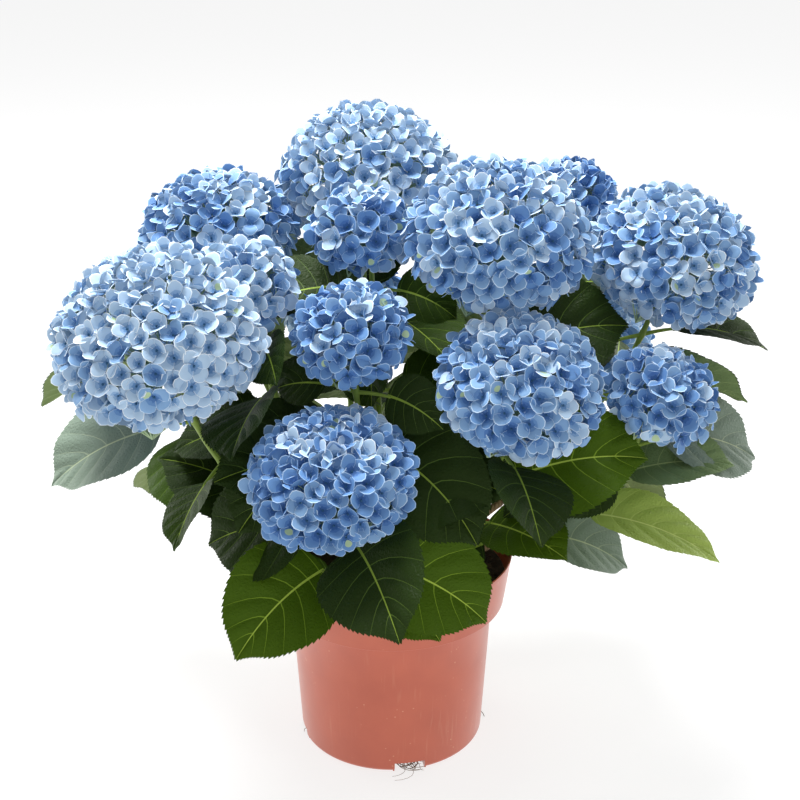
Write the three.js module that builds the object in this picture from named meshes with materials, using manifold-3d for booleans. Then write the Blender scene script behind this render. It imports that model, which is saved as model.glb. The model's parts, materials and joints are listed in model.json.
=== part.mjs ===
// A mophead hydrangea shrub in its nursery pot.
//
// Millimetres, +Z up, the front of the plant towards -Y. The origin is the middle of the pot's
// flat underside. Sixteen shoots rise from one root crown. Each shoot is a bare woody cane, a mass
// of foliage (the green upper stem with its opposite pairs of leaves) and a bloom on its stalk.

import * as THREE from 'three';
import { ConvexHull } from 'three/addons/math/ConvexHull.js';
import { mergeVertices } from 'three/addons/utils/BufferGeometryUtils.js';
import Module from 'manifold-3d';

const wasm = await Module();
wasm.setup();

const CLEAR = 0.3; // gap between pieces that touch
const WELD = 1e-3; // corners closer than this are one
const UP = new THREE.Vector3(0, 0, 1);
const radians = THREE.MathUtils.degToRad;

// ---------------------------------------------------------------- driving dimensions

const POT = {
  height: 217.5,
  wall: 2,
  lip: 1, // bevel round the rim
  footRadius: 100,
  footCorner: 6,
  waistRadius: 109, // body just under the collar
  collarHeight: 54.5,
  collarRadius: 122, // collar at its lower edge
  rimRadius: 130,
  sides: 48,
};

const CHANNEL = {
  count: 4,
  firstAngle: -78.4, // degrees from +X, seen from above
  width: 33,
  height: 11,
  hubRadius: 34, // flat middle of the floor that the channels stop short of
  roof: 1.5,
};

const SOIL = { belowRim: 25.5, flatRadius: 97, edgeFall: 3 };

const CROWN = { radius: 46, sunk: 12, sides: 28 };

const CANE = { footRadius: 5, topRadius: 3.9, sides: 5, step: 34, maxTilt: 62, tiltGain: 1.4 };

const STEM = { footRadius: 3.8, topRadius: 3, sides: 5, step: 32, belowBloom: 10, belowLastPair: 20 };

const PAIRS = { first: 24, spacing: 57, sizes: [0.9, 1, 0.92, 0.8], angleSpread: 7, sizeSpread: 0.06 };

const LEAF = {
  petiole: 32,
  petioleRadius: 1.9,
  rib: 1.4, // half the thickness along the midrib
  aspect: 0.42, // half-width over blade length
  fold: 13, // degrees each half rises from the midrib
  bend: 48, // degrees the midrib turns down along its length
  levelHeight: 465, // height above which a blade lifts and below which it hangs
  hang: 0.19, // degrees of slope per millimetre of height
  swing: 24, // degrees a leaf turns towards the outside of the plant
  roll: 56, // degrees a side leaf rolls to face outwards
  stations: [0, 0.18, 0.46, 0.78, 1],
};

// Places a leaf may take, tried in order: turn and lift in degrees, and size
const TRIES = [
  { turn: 0, lift: 0, size: 1 },
  { turn: 15, lift: 4, size: 1 },
  { turn: -15, lift: 4, size: 1 },
  { turn: 6, lift: 16, size: 0.95 },
  { turn: -6, lift: -16, size: 0.95 },
  { turn: 28, lift: 10, size: 0.85 },
  { turn: -28, lift: 10, size: 0.85 },
  { turn: 0, lift: 24, size: 0.75 },
  { turn: 14, lift: -22, size: 0.7 },
  { turn: -34, lift: -12, size: 0.65 },
];

const BLOOM = {
  top: 0.42, // height above the widest ring, over the width
  bottom: 0.34, // depth below it
  area: 0.8, // area of its skin over that of a ball of its width
  lean: 0.45, // share of the shoot's tilt that the head keeps
  floretPitch: 27.5,
  cup: 0.055, // how far each floret's middle lies below its rim
  ruffle: 0.035,
  stalkRadius: 2.7,
  stalkSunk: 0.12, // how far the stalk runs into the head, over the width
};

// One row a shoot: middle and width of its bloom, length of its largest blade, and its pairs of
// leaves from the top down as [direction, lift, size]: the direction of the first leaf of the pair
// in degrees from +X, the degrees both lift above the common slope, and their blades over the
// largest, where that isn't the usual size. A bloom may be flatter than the rest.
const SHOOTS = {
  front: {
    at: [-54, -190, 390], width: 160, flat: 0.87, blade: 138, pairs: [[-38, 12], [-158, 7, 0.9], [155, 2, 0.6]],
  },
  middle: {
    at: [-36, -120, 506], width: 115, blade: 122, pairs: [[175, 14, 0.75], [172, -18], [165, 30, 1.15]],
  },
  front_right: {
    at: [121, -155, 468], width: 160, blade: 130, pairs: [[-84, 3, 0.8], [25, 40], [-22, 26, 0.75]],
  },
  big_left: {
    at: [-214, -125, 504], width: 208, blade: 148,
    pairs: [[176, -20, 0.9], [-95, -18, 0.5], [-115, 0, 0.55], [162, 56, 0.85]],
  },
  high_right: {
    at: [102, -70, 585], width: 180, blade: 134, pairs: [[95, -10, 0.8], [35, 13, 1.08], [-20, 0], [80, 0]],
  },
  left: { at: [-141, -70, 539], width: 106, blade: 112, pairs: [[-15, 0], [80, 0], [165, 0]] },
  low_right: {
    at: [264, -90, 432], width: 113, blade: 130,
    pairs: [[50, 3, 1.0], [0, 42, 0.85], [-2, 14, 1.15], [26, 16, 0.8]],
  },
  right: { at: [283, 10, 539], width: 174, blade: 130, pairs: [[18, -7], [100, 0], [10, 0], [70, -6, 1]] },
  middle_high: { at: [-28, -20, 578], width: 107, blade: 108, pairs: [[185, 0], [95, 0], [10, 0], [90, 0]] },
  back_left: { at: [-179, 70, 546], width: 167, blade: 122, pairs: [[12, 30], [100, 0], [175, 4], [200, 0]] },
  back_right: { at: [192, 140, 567], width: 106, blade: 112, pairs: [[-30, 28], [60, 0], [150, 0], [40, 0]] },
  top: { at: [-24, 130, 592], width: 190, blade: 120, pairs: [[200, 0], [110, 0], [10, 0], [100, 0]] },
  rear_left: { at: [-255, 165, 420], width: 125, blade: 155, pairs: [[205, 4], [120, 4], [152, 10]] },
  rear_right: { at: [245, 225, 375], width: 122, blade: 130, pairs: [[30, 0], [110, 0], [20, 0]] },
  behind: { at: [-62, 235, 425], width: 150, blade: 130, pairs: [[95, 0], [180, 0], [90, 0]] },
  behind_right: { at: [115, 235, 420], width: 140, blade: 130, pairs: [[70, 0], [160, 0], [60, 0]] },
};

const SOIL_TOP = POT.height - SOIL.belowRim;

// ---------------------------------------------------------------- materials

function material(colour, roughness) {
  return new THREE.MeshStandardMaterial({ color: colour, roughness, metalness: 0 });
}

const terracotta = material('#b46350', 0.55);
const peat = material('#2b211b', 0.95);
const bark = material('#7a6148', 0.85);
const leafGreen = material('#35501c', 0.55);
const petalBlue = material('#7f9fdb', 0.6);

// ---------------------------------------------------------------- solids from geometry

function toSolid(geometry) {
  const bare = geometry.clone();
  bare.deleteAttribute('normal');
  bare.deleteAttribute('uv');
  const merged = mergeVertices(bare, WELD);
  const mesh = new wasm.Mesh({
    numProp: 3,
    vertProperties: new Float32Array(merged.attributes.position.array),
    triVerts: new Uint32Array(merged.index.array),
  });
  return new wasm.Manifold(mesh);
}

function toMesh(name, solid, surface) {
  const { vertProperties, triVerts } = solid.getMesh();
  const geometry = new THREE.BufferGeometry();
  geometry.setAttribute('position', new THREE.BufferAttribute(vertProperties, 3));
  geometry.setIndex(new THREE.BufferAttribute(triVerts, 1));
  geometry.computeVertexNormals();
  const mesh = new THREE.Mesh(geometry, surface);
  mesh.name = name;
  return mesh;
}

// A closed skin over a row of rings, each with its points anticlockwise seen from the far end;
// a last ring of one point makes a tip
function skin(rings) {
  const corners = rings.flat();
  const sides = rings[0].length;
  const faces = [];
  for (let i = 2; i < sides; i += 1) faces.push(0, i, i - 1);
  for (let ring = 0; ring + 1 < rings.length; ring += 1) {
    const here = ring * sides;
    const next = here + sides;
    const pointed = rings[ring + 1].length === 1;
    for (let i = 0; i < sides; i += 1) {
      const j = (i + 1) % sides;
      if (pointed) {
        faces.push(here + i, here + j, next);
      } else {
        faces.push(here + i, here + j, next + j, here + i, next + j, next + i);
      }
    }
  }
  if (rings.at(-1).length === sides) {
    const last = (rings.length - 1) * sides;
    for (let i = 2; i < sides; i += 1) faces.push(last, last + i - 1, last + i);
  }
  const geometry = new THREE.BufferGeometry().setFromPoints(corners);
  geometry.setIndex(faces);
  return geometry;
}

// Repeatable random numbers from 0 to 1
function dice(seed) {
  let state = seed;
  return () => {
    state = (state * 16807) % 2147483647;
    return state / 2147483647;
  };
}

function heading(azimuth, tilt) {
  return new THREE.Vector3(
    Math.sin(tilt) * Math.cos(azimuth),
    Math.sin(tilt) * Math.sin(azimuth),
    Math.cos(tilt),
  );
}

// ---------------------------------------------------------------- pot and soil

// Outline of the pot's inner wall and floor, from the axis outwards and up, moved in by a gap
function innerOutline(gap, top) {
  const inset = POT.wall + gap;
  const floor = inset;
  const collarFoot = POT.height - POT.collarHeight + inset;
  const foot = POT.footRadius - inset;
  const collarShare = (top - collarFoot) / (POT.height - collarFoot);
  const topRadius = THREE.MathUtils.lerp(POT.collarRadius, POT.rimRadius, collarShare) - inset;
  return [
    new THREE.Vector2(0, floor),
    new THREE.Vector2(foot - POT.footCorner, floor),
    new THREE.Vector2(foot, floor + POT.footCorner),
    new THREE.Vector2(POT.waistRadius - inset, collarFoot),
    new THREE.Vector2(POT.collarRadius - inset, collarFoot),
    new THREE.Vector2(topRadius, top),
  ];
}

function lathe(outline) {
  const geometry = new THREE.LatheGeometry(outline, POT.sides);
  return toSolid(geometry.rotateX(Math.PI / 2));
}

// A radial bar on the floor at each drainage channel
function channelBars(width, height, from, to) {
  const bars = [];
  for (let i = 0; i < CHANNEL.count; i += 1) {
    const bar = new THREE.BoxGeometry(to - from, width, height);
    bar.translate((from + to) / 2, 0, height / 2);
    bar.rotateZ(radians(CHANNEL.firstAngle) + (i * 2 * Math.PI) / CHANNEL.count);
    bars.push(toSolid(bar));
  }
  return wasm.Manifold.union(bars);
}

function potSolid() {
  const collarFoot = POT.height - POT.collarHeight;
  const corner = new THREE.Path();
  corner.absarc(POT.footRadius - POT.footCorner, POT.footCorner, POT.footCorner, -Math.PI / 2, 0, false);
  const outside = [
    new THREE.Vector2(0, 0),
    ...corner.getPoints(2),
    new THREE.Vector2(POT.waistRadius, collarFoot),
    new THREE.Vector2(POT.collarRadius, collarFoot),
    new THREE.Vector2(POT.rimRadius, POT.height - POT.lip),
    new THREE.Vector2(POT.rimRadius - POT.lip, POT.height),
  ];
  const shell = lathe([...outside, ...innerOutline(0, POT.height).reverse()]);
  const { width, height, hubRadius, roof } = CHANNEL;
  const roofs = channelBars(width + 2 * roof, height + roof, hubRadius - roof, POT.footRadius - POT.wall);
  const cuts = channelBars(width, height, hubRadius, POT.footRadius + POT.wall);
  return shell.add(roofs).subtract(cuts);
}

function soilSolid() {
  const outline = innerOutline(CLEAR, SOIL_TOP - SOIL.edgeFall);
  outline.push(new THREE.Vector2(SOIL.flatRadius, SOIL_TOP), new THREE.Vector2(0, SOIL_TOP));
  const { width, height, hubRadius, roof } = CHANNEL;
  const edge = roof + CLEAR;
  const room = channelBars(width + 2 * edge, height + edge, hubRadius - edge, POT.footRadius + POT.wall);
  return lathe(outline).subtract(room);
}

// ---------------------------------------------------------------- root crown and limbs

const CROWN_MIDDLE = new THREE.Vector3(0, 0, SOIL_TOP - CROWN.sunk);

function crownSolid() {
  const foot = SOIL_TOP + CLEAR;
  const footTilt = Math.acos((foot - CROWN_MIDDLE.z) / CROWN.radius);
  const dome = new THREE.Path();
  dome.absarc(0, CROWN_MIDDLE.z, CROWN.radius, Math.PI / 2 - footTilt, Math.PI / 2, false);
  const geometry = new THREE.LatheGeometry([new THREE.Vector2(0, foot), ...dome.getPoints(4)], CROWN.sides);
  return toSolid(geometry.rotateX(Math.PI / 2));
}

const COURSE_STEPS = 48;

// How far a bloom reaches above its widest ring, or below it
function bloomDepth(shoot, side) {
  return (side > 0 ? BLOOM.top : BLOOM.bottom) * shoot.width * (shoot.flat ?? 1);
}

// A limb's course from the crown to the underside of its bloom, measured along its length
class Limb {
  constructor(shoot) {
    const middle = new THREE.Vector3(...shoot.at);
    const azimuth = Math.atan2(middle.y, middle.x);
    const tilt = Math.atan2(Math.hypot(middle.x, middle.y), middle.z - CROWN_MIDDLE.z);
    this.outward = azimuth;
    this.middle = middle;
    this.axis = heading(azimuth, BLOOM.lean * tilt);
    const leave = heading(azimuth, Math.min(CANE.tiltGain * tilt, radians(CANE.maxTilt)));
    const start = CROWN_MIDDLE.clone().addScaledVector(leave, CROWN.radius + CLEAR);
    const end = middle.clone().addScaledVector(this.axis, -bloomDepth(shoot, -1));
    const pull = start.distanceTo(end) / 3;
    const curve = new THREE.CubicBezierCurve3(
      start,
      start.clone().addScaledVector(leave, pull),
      end.clone().addScaledVector(this.axis, -pull),
      end,
    );
    this.points = curve.getPoints(COURSE_STEPS);
    this.marks = [0];
    for (let i = 1; i < this.points.length; i += 1) {
      this.marks.push(this.marks[i - 1] + this.points[i].distanceTo(this.points[i - 1]));
    }
    this.length = this.marks.at(-1);
  }

  // Point and direction at a distance from the crown
  at(distance) {
    const beyond = this.marks.findIndex((mark) => mark >= distance);
    const i = beyond < 0 ? this.points.length - 1 : Math.max(beyond, 1);
    const share = (distance - this.marks[i - 1]) / (this.marks[i] - this.marks[i - 1]);
    const point = this.points[i - 1].clone().lerp(this.points[i], share);
    const along = this.points[i].clone().sub(this.points[i - 1]).normalize();
    return { point, along };
  }

  // A tapering round length of the limb
  round(from, to, fromRadius, toRadius, sides, step) {
    const steps = Math.max(2, Math.round((to - from) / step));
    const rings = [];
    for (let i = 0; i <= steps; i += 1) {
      const { point, along } = this.at(THREE.MathUtils.lerp(from, to, i / steps));
      const radius = THREE.MathUtils.lerp(fromRadius, toRadius, i / steps);
      const across = new THREE.Vector3(0, 1, 0).cross(along).normalize();
      const other = along.clone().cross(across);
      const ring = [];
      for (let k = 0; k < sides; k += 1) {
        const angle = (k * 2 * Math.PI) / sides;
        const spoke = across.clone().multiplyScalar(radius * Math.cos(angle));
        ring.push(point.clone().add(spoke).addScaledVector(other, radius * Math.sin(angle)));
      }
      rings.push(ring);
    }
    return toSolid(skin(rings));
  }
}

// ---------------------------------------------------------------- leaves

// Half-width of a blade over its greatest, from its base at 0 to its tip at 1
function bladeShape(t) {
  return (t ** 0.5 * (1 - t) ** 0.7) / 0.4427;
}

// One leaf, petiole and blade, as a four-cornered skin along its arching midrib
function leafSolid(root, azimuth, slope, roll, blade) {
  const reach = LEAF.petiole + blade;
  const bend = radians(LEAF.bend);
  const rise = slope + bend / 2;
  const ahead = new THREE.Vector3(Math.cos(azimuth), Math.sin(azimuth), 0);
  const aside = new THREE.Vector3(-Math.sin(azimuth), Math.cos(azimuth), 0);
  const section = (s, halfWidth, halfThick, lift) => {
    const pitch = rise - (bend * s) / reach;
    const out = (reach / bend) * (Math.sin(rise) - Math.sin(pitch));
    const up = (reach / bend) * (Math.cos(pitch) - Math.cos(rise));
    const centre = root.clone().addScaledVector(ahead, out).addScaledVector(UP, up);
    const upright = ahead.clone().multiplyScalar(-Math.sin(pitch)).addScaledVector(UP, Math.cos(pitch));
    const side = aside.clone().multiplyScalar(Math.cos(roll)).addScaledVector(upright, Math.sin(roll));
    const face = upright.multiplyScalar(Math.cos(roll)).addScaledVector(aside, -Math.sin(roll));
    const edge = (sign) => centre.clone().addScaledVector(side, sign * halfWidth).addScaledVector(face, lift);
    return [
      edge(1),
      centre.clone().addScaledVector(face, halfThick),
      edge(-1),
      centre.clone().addScaledVector(face, -halfThick),
    ];
  };
  const slim = LEAF.petioleRadius;
  const rings = [section(0, slim, slim, 0)];
  for (const t of LEAF.stations.slice(0, -1)) {
    const halfWidth = Math.max(slim, LEAF.aspect * blade * bladeShape(t));
    const lift = t > 0 ? halfWidth * Math.tan(radians(LEAF.fold)) : 0;
    rings.push(section(LEAF.petiole + t * blade, halfWidth, t > 0 ? LEAF.rib : slim, lift));
  }
  rings.push([section(reach, 0, 0, 0)[0]]);
  return toSolid(skin(rings));
}

// The leaves that a shoot may carry, in order from its bloom down
function* leafPlaces(limb, shoot, seed) {
  const random = dice(seed);
  const spread = (size) => (2 * random() - 1) * size;
  for (const [pair, [direction, lift, size = PAIRS.sizes[pair]]] of shoot.pairs.entries()) {
    const { point } = limb.at(limb.length - PAIRS.first - pair * PAIRS.spacing);
    const turn = radians(direction + spread(PAIRS.angleSpread));
    for (let half = 0; half < 2; half += 1) {
      const straight = turn + half * Math.PI;
      const azimuth = straight + radians(LEAF.swing) * Math.sin(limb.outward - straight);
      const common = (point.z - LEAF.levelHeight) * LEAF.hang;
      const slope = radians(common + lift + spread(PAIRS.angleSpread));
      const roll = -radians(LEAF.roll) * Math.sin(limb.outward - azimuth);
      const blade = shoot.blade * size * (1 + spread(PAIRS.sizeSpread));
      yield { root: point, azimuth, slope, roll, blade };
    }
  }
}

function clearOf(solid, others) {
  return others.every((other) => solid.minGap(other, 3 * CLEAR) > 2 * CLEAR);
}

// Distance along a limb at which its bare cane ends and its leafy stem begins
function stemFoot(limb, shoot) {
  return limb.length - PAIRS.first - (shoot.pairs.length - 1) * PAIRS.spacing - STEM.belowLastPair;
}

function greenStem(limb, shoot) {
  const top = limb.length - STEM.belowBloom;
  return limb.round(stemFoot(limb, shoot), top, STEM.footRadius, STEM.topRadius, STEM.sides, STEM.step);
}

// Green stem and leaves; a leaf with no free place is left out
function foliageSolid(limb, shoot, seed, others) {
  const pieces = [greenStem(limb, shoot)];
  for (const { root, azimuth, slope, roll, blade } of leafPlaces(limb, shoot, seed)) {
    for (const { turn, lift, size } of TRIES) {
      const leaf = leafSolid(root, azimuth + radians(turn), slope + radians(lift), roll, blade * size);
      if (clearOf(leaf, others)) {
        pieces.push(leaf);
        break;
      }
    }
  }
  return wasm.Manifold.union(pieces);
}

// ---------------------------------------------------------------- blooms

// Distance from a bloom's middle to its skin along a direction
function skinRadius(limb, shoot, direction) {
  const high = direction.dot(limb.axis);
  const wide = Math.sqrt(Math.max(0, 1 - high * high));
  return 1 / Math.hypot(high / bloomDepth(shoot, high), wide / (shoot.width / 2));
}

// A mophead: cells of a hull over evenly spread florets, each cell sunk at its middle like the
// cup of a floret. Where two heads press together both are flat along the plane between them.
function bloomSolid(limb, shoot, seed, neighbours) {
  const random = dice(seed);
  const radius = shoot.width / 2;
  const count = Math.round((4 * Math.PI * radius * radius * BLOOM.area) / (BLOOM.floretPitch ** 2));
  const turnToAxis = new THREE.Quaternion().setFromUnitVectors(UP, limb.axis);
  const florets = [];
  for (let i = 0; i < count; i += 1) {
    const tilt = Math.acos(1 - (2 * i + 1) / count);
    const azimuth = i * Math.PI * (3 - Math.sqrt(5));
    florets.push(heading(azimuth, tilt).applyQuaternion(turnToAxis));
  }
  const walls = neighbours.map((other) => {
    const towards = other.limb.middle.clone().sub(limb.middle);
    const apart = towards.length();
    towards.normalize();
    const mine = skinRadius(limb, shoot, towards);
    const theirs = skinRadius(other.limb, other.shoot, towards.clone().negate());
    return { towards, reach: (apart * mine) / (mine + theirs) - 2 * CLEAR };
  });
  const place = (direction, share) => {
    const offset = direction.clone().multiplyScalar(share * skinRadius(limb, shoot, direction));
    for (const { towards, reach } of walls) {
      const past = offset.dot(towards);
      if (past > reach) offset.multiplyScalar(reach / past);
    }
    return offset.add(limb.middle);
  };
  const hull = new ConvexHull().setFromPoints(florets);
  const cups = new Map();
  const rims = new Map();
  for (const floret of florets) cups.set(floret, place(floret, 1 - BLOOM.cup));
  for (const face of hull.faces) {
    const ruffle = BLOOM.ruffle * (2 * random() - 1);
    rims.set(face, place(face.midpoint.clone().normalize(), 1 + ruffle));
  }
  const corners = [];
  for (const face of hull.faces) {
    let edge = face.edge;
    do {
      corners.push(cups.get(edge.tail().point), rims.get(edge.twin.face), rims.get(face));
      edge = edge.next;
    } while (edge !== face.edge);
  }
  const head = toSolid(mergeVertices(new THREE.BufferGeometry().setFromPoints(corners), WELD));
  const foot = limb.length - STEM.belowBloom + CLEAR;
  const top = limb.length + BLOOM.stalkSunk * shoot.width;
  const stalk = limb.round(foot, top, BLOOM.stalkRadius, BLOOM.stalkRadius, STEM.sides, STEM.step);
  return head.add(stalk);
}

// ---------------------------------------------------------------- the whole plant

const plant = new THREE.Group();
const pot = potSolid();
const soil = soilSolid();
const crown = crownSolid();
plant.add(toMesh('pot', pot, terracotta));
plant.add(toMesh('potting_soil', soil, peat));
plant.add(toMesh('root_crown', crown, bark));

const shoots = Object.entries(SHOOTS).map(([name, shoot], index) => {
  return { name, shoot, seed: 101 + 37 * index, limb: new Limb(shoot) };
});

for (const one of shoots) {
  const { limb, shoot, seed } = one;
  const neighbours = shoots.filter((other) => {
    const apart = other.limb.middle.distanceTo(limb.middle);
    return other !== one && apart < (other.shoot.width + shoot.width) / 2 + CLEAR;
  });
  one.bloom = bloomSolid(limb, shoot, seed, neighbours);
  const caneTop = stemFoot(limb, shoot) - CLEAR;
  one.cane = limb.round(0, caneTop, CANE.footRadius, CANE.topRadius, CANE.sides, CANE.step);
  one.stem = greenStem(limb, shoot);
}

for (const one of shoots) {
  const rest = shoots.filter((other) => other !== one);
  const placed = rest.map((other) => other.foliage ?? other.stem);
  const limbs = rest.map((other) => other.cane);
  const blooms = shoots.map((other) => other.bloom);
  const others = [...placed, ...limbs, one.cane, ...blooms, pot, soil, crown];
  one.foliage = foliageSolid(one.limb, one.shoot, one.seed, others);
}

for (const { name, cane, foliage, bloom } of shoots) {
  plant.add(toMesh(`cane_${name}`, cane, bark.clone()));
  plant.add(toMesh(`foliage_${name}`, foliage, leafGreen.clone()));
  plant.add(toMesh(`bloom_${name}`, bloom, petalBlue.clone()));
}

export default plant;
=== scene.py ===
# A mophead hydrangea shrub in its nursery pot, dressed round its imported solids.
# Metres, +Z up, the front of the plant towards -Y; the origin is the middle of the pot's underside.

from itertools import product
from math import acos, asin, atan2, cos, degrees, exp, hypot, pi, radians, sin, sqrt, tan

import bpy
import json
import numpy as np
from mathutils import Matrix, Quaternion, Vector, noise
from mathutils.kdtree import KDTree

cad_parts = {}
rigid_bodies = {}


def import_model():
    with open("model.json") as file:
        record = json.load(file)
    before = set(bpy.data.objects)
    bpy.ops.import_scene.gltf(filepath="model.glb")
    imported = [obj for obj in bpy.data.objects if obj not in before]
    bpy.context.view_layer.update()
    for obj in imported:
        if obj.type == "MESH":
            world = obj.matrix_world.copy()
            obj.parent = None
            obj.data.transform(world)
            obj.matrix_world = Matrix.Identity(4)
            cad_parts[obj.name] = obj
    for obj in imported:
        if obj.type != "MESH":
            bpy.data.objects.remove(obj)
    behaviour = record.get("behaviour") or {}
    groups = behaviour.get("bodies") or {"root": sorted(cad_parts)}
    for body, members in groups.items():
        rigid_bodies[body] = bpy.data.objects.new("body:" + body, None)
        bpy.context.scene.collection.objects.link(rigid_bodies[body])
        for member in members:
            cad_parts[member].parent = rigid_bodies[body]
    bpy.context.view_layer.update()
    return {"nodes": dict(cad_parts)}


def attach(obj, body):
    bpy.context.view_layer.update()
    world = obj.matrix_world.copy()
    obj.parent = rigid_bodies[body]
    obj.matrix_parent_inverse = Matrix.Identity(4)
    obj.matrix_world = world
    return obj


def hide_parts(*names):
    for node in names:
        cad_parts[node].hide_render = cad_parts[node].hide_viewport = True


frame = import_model()

# ---------------------------------------------------------------- studio
# A wide pale floor, and the camera a little above the blooms, looking down on the plant. Light
# comes softly from all round, and from a large panel overhead, a little behind and to the left.

CAMERA_PLACE = (0.0093, -1.532, 1.025)
CAMERA_TILT = 67.5
LENS, SENSOR = 72, 36
AIR_STRENGTH = 0.53
FLOOR_REACH, FLOOR_GLOW = 60, 0.75
# Each panel's place, the point that it faces, its diameter and its watts
PANELS = {
    "key_panel": ((-0.4, 0.55, 2.5), (0, 0, 0.4), 1.7, 122),
    "front_panel": ((0.7, -2.4, 1.3), (0, 0, 0.2), 1.8, 8),
    "left_panel": ((-1.45, 0.95, 0.45), (0, 0, 0.25), 1.2, 12),
    "right_panel": ((1.45, 0.95, 0.45), (0, 0, 0.25), 1.2, 12),
}

scene = bpy.context.scene
scene.view_settings.view_transform = "Standard"


def add_to_scene(name, data):
    thing = bpy.data.objects.new(name, data)
    scene.collection.objects.link(thing)
    return thing


camera = add_to_scene("camera", bpy.data.cameras.new("camera"))
camera.data.lens = LENS
camera.data.sensor_width = SENSOR
camera.location = CAMERA_PLACE
camera.rotation_euler = (radians(CAMERA_TILT), 0, 0)
scene.camera = camera

for name, (place, aim, size, watts) in PANELS.items():
    panel = add_to_scene(name, bpy.data.lights.new(name, "AREA"))
    panel.data.shape = "DISK"
    panel.data.size = size
    panel.data.energy = watts
    panel.location = place
    panel.rotation_euler = (Vector(place) - Vector(aim)).to_track_quat("Z", "Y").to_euler()

world = bpy.data.worlds.new("studio_air")
scene.world = world
world.use_nodes = True
air = world.node_tree.nodes["Background"].inputs
air["Color"].default_value = (1, 1, 1, 1)
air["Strength"].default_value = AIR_STRENGTH


def add_node(tree, kind, settings, inputs):
    """A node in a tree: its settings first, and then the values or links of its sockets."""
    made = tree.nodes.new(kind)
    for key, value in settings.items():
        if key == "stops":
            elements = made.color_ramp.elements
            while len(elements) < len(value):
                elements.new(0.5)
            for element, (position, colour) in zip(elements, value):
                element.position = position
                element.color = colour
        else:
            setattr(made, key, value)
    for key, value in inputs.items():
        if isinstance(value, bpy.types.NodeSocket):
            tree.links.new(value, made.inputs[key])
        else:
            made.inputs[key].default_value = value
    return made


class Signal:
    """A socket in a finish's tree. Sums and products with it add Math nodes."""

    def __init__(self, finish, socket):
        self.finish = finish
        self.socket = socket

    def math(self, operation, other):
        return self.finish.node("ShaderNodeMath", {0: self, 1: other}, operation=operation)

    def __add__(self, other):
        return self.math("ADD", other)

    def __mul__(self, other):
        return self.math("MULTIPLY", other)

    __radd__ = __add__
    __rmul__ = __mul__


class Finish:
    """A material. Constants go straight on the shader's sockets."""

    def __init__(self, name, **constants):
        self.material = bpy.data.materials.new(name)
        self.material.use_nodes = True
        self.tree = self.material.node_tree
        for label, value in constants.items():
            self.entry(label).default_value = value

    def entry(self, label):
        """The shader's socket of this name."""
        shader = self.tree.nodes["Principled BSDF"]
        return shader.inputs[label.replace("_", " ").title().replace("Ior", "IOR")]

    def node(self, kind, inputs, output=0, **settings):
        sockets = {key: getattr(value, "socket", value) for key, value in inputs.items()}
        return Signal(self, add_node(self.tree, kind, settings, sockets).outputs[output])

    def place(self):
        return self.node("ShaderNodeTexCoord", {}, "Object")

    def drawn_up(self, place, share):
        """The place, shrunk upright so that a pattern on it is drawn out lengthwise."""
        return self.node("ShaderNodeMapping", {"Vector": place, "Scale": (1, 1, share)})

    def mix(self, share, first, second):
        sockets = {0: share, 6: first, 7: second}
        return self.node("ShaderNodeMix", sockets, 2, data_type="RGBA")

    def cloud(self, place, scale, detail=2.0, roughness=0.5):
        sockets = {"Vector": place, "Scale": scale, "Detail": detail, "Roughness": roughness}
        return self.node("ShaderNodeTexNoise", sockets)

    def ramp(self, share, *stops):
        return self.node("ShaderNodeValToRGB", {0: share}, stops=stops)

    def mask(self, share, off, on):
        """Black where the share is at `off` or beyond it, white from `on`."""
        return self.ramp(share, *sorted(((off, (0, 0, 0, 1)), (on, (1, 1, 1, 1)))))

    def relief(self, height, distance, strength=1.0):
        sockets = {"Height": height, "Distance": distance, "Strength": strength}
        return self.node("ShaderNodeBump", sockets)

    def feed(self, **signals):
        for label, signal in signals.items():
            self.tree.links.new(signal.socket, self.entry(label))
        return self.material


def mesh_piece(name, points, faces, materials, finishes=None, smooth=True):
    """An object from points and faces, with the number of its finish for each face."""
    mesh = bpy.data.meshes.new(name)
    mesh.from_pydata([tuple(p) for p in points], [], [tuple(int(i) for i in f) for f in faces])
    for material in materials:
        mesh.materials.append(material)
    if finishes is not None:
        mesh.polygons.foreach_set("material_index", np.asarray(finishes, dtype=np.int32))
    mesh.polygons.foreach_set("use_smooth", np.full(len(mesh.polygons), smooth))
    mesh.validate()
    mesh.update()
    return add_to_scene(name, mesh)


floor_finish = Finish(
    "pale_sweep",
    base_color=(0.3, 0.3, 0.3, 1),
    roughness=0.95,
    specular_ior_level=0.0,
    emission_color=(1, 1, 1, 1),
    emission_strength=FLOOR_GLOW,
)
corners = [(FLOOR_REACH * x, FLOOR_REACH * y, 0) for x, y in ((-1, -1), (1, -1), (1, 1), (-1, 1))]
floor = mesh_piece("floor", corners, [(0, 1, 2, 3)], [floor_finish.material])


# ---------------------------------------------------------------- pot
# A standard injection-moulded nursery pot: a tapering body with a rounded foot, a stepped-out
# collar and a plain lip, in matt terracotta-coloured plastic. Four channels drain its underside.

POT_HEIGHT = 0.2175
POT_WALL = 0.002
POT_FOOT, POT_FOOT_CORNER = 0.100, 0.006
POT_WAIST, WAIST_COVE = 0.109, 0.0006
COLLAR_HEIGHT, COLLAR_RADIUS, COLLAR_FILLET = 0.0545, 0.122, 0.0009
RIM_RADIUS, LIP = 0.130, 0.0007
POT_SIDES = 192
CHANNELS, CHANNEL_TURN = 4, -78.4
CHANNEL_WIDTH, CHANNEL_HEIGHT = 0.033, 0.011
CHANNEL_HUB, CHANNEL_ROOF = 0.034, 0.0015
channel_turns = [radians(CHANNEL_TURN) + i * 2 * pi / CHANNELS for i in range(CHANNELS)]


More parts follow.
